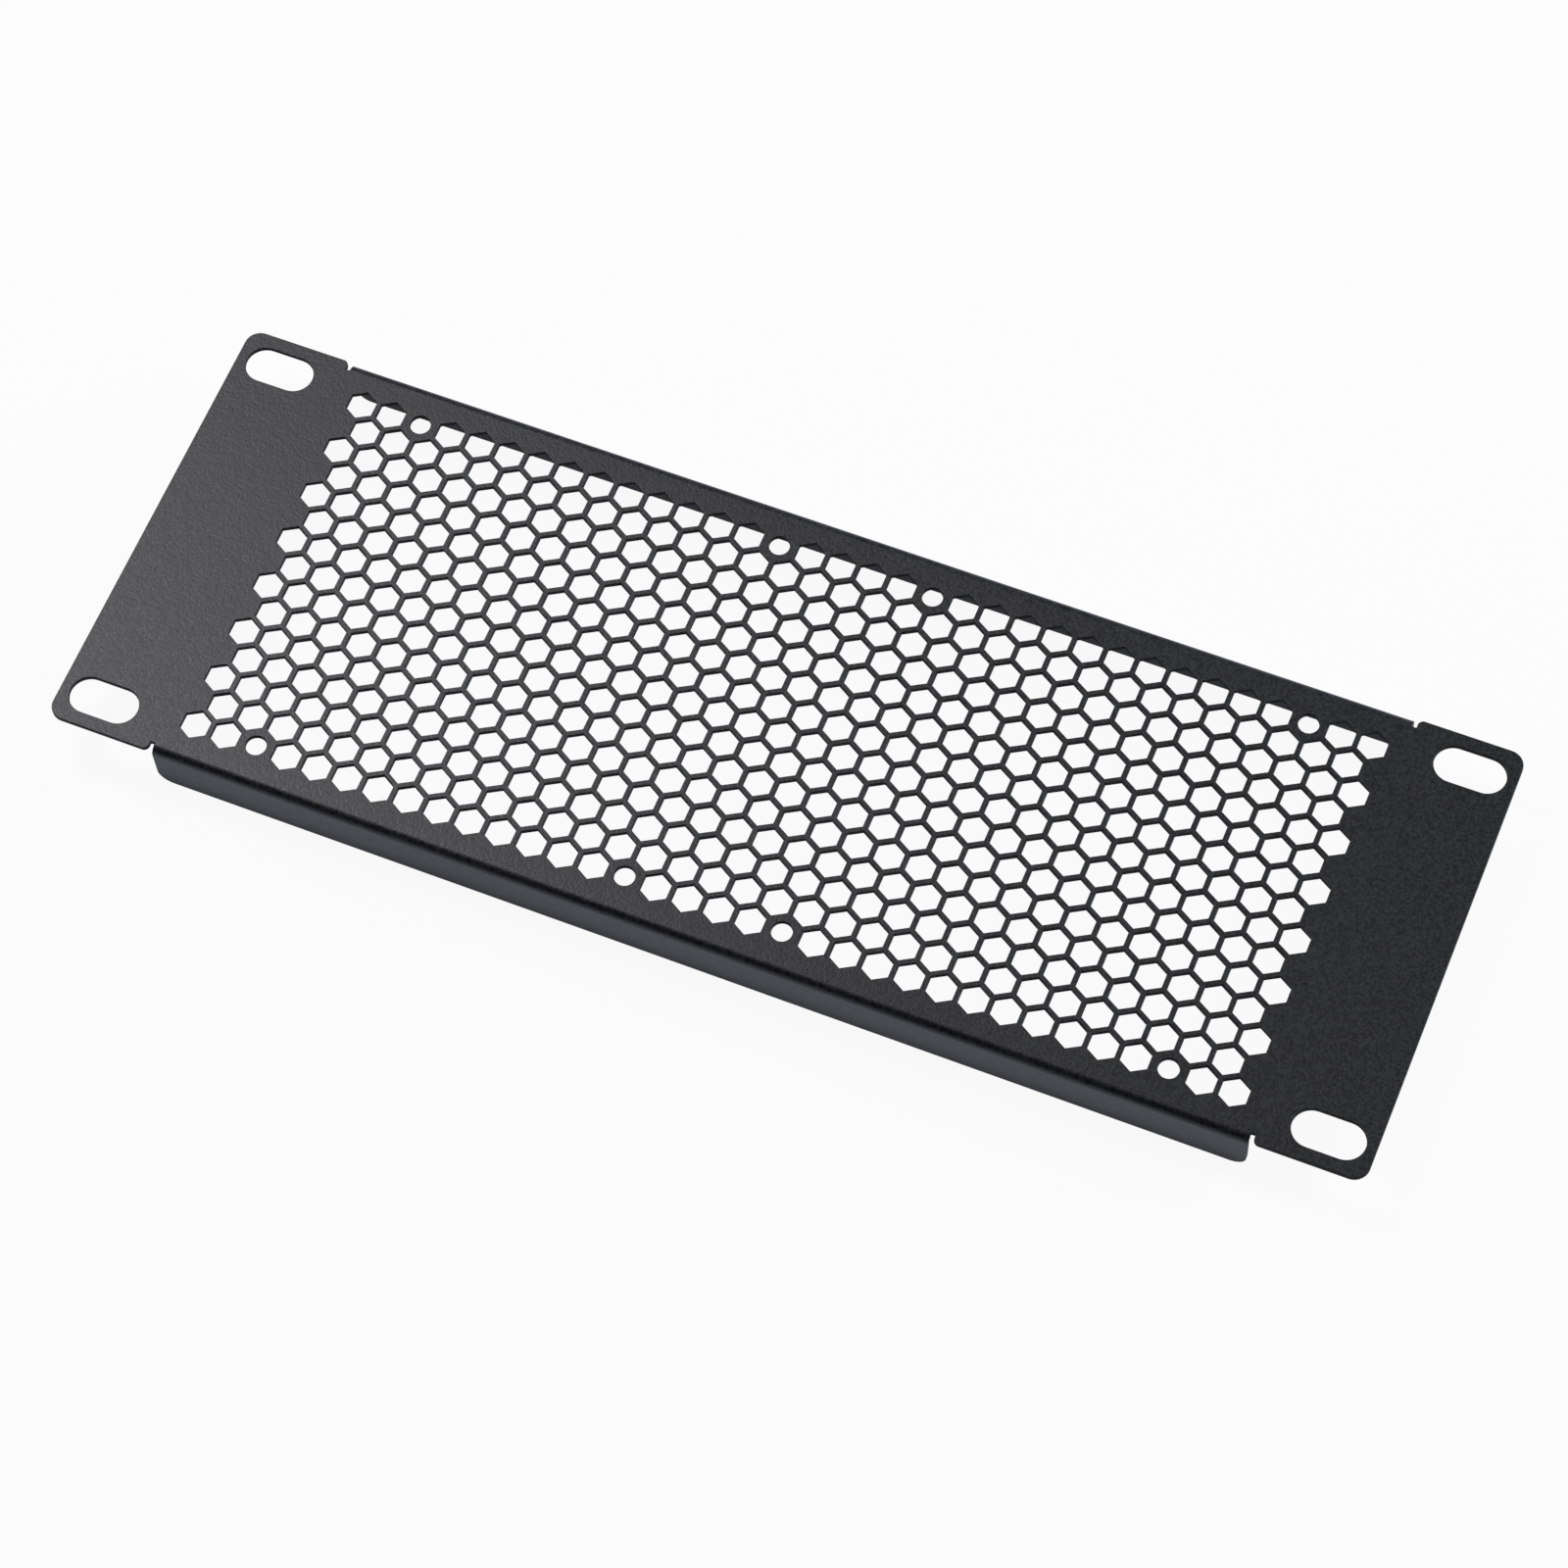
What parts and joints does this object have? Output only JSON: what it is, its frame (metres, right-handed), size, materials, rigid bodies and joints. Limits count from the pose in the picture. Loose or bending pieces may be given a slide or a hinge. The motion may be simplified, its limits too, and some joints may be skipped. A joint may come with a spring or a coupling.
{
  "type": "rack vent panel",
  "caption": "Folded sheet-steel vent panel for a narrow equipment rack, with a honeycomb grille, fan screw holes, slotted ears and a flange along each long edge.",
  "frame": {"origin": "under the middle of the face, level with the free edges of the two flanges that the panel lies on", "axes": "+X along the panel, +Y across it, +Z out of its front face"},
  "size_m": [0.254, 0.0888, 0.011],
  "materials": {
    "powder_coat": "fine-textured black powder coat on steel sheet"
  },
  "bodies": {
    "root": {"vent_panel": "powder_coat"}
  },
  "joints": []
}
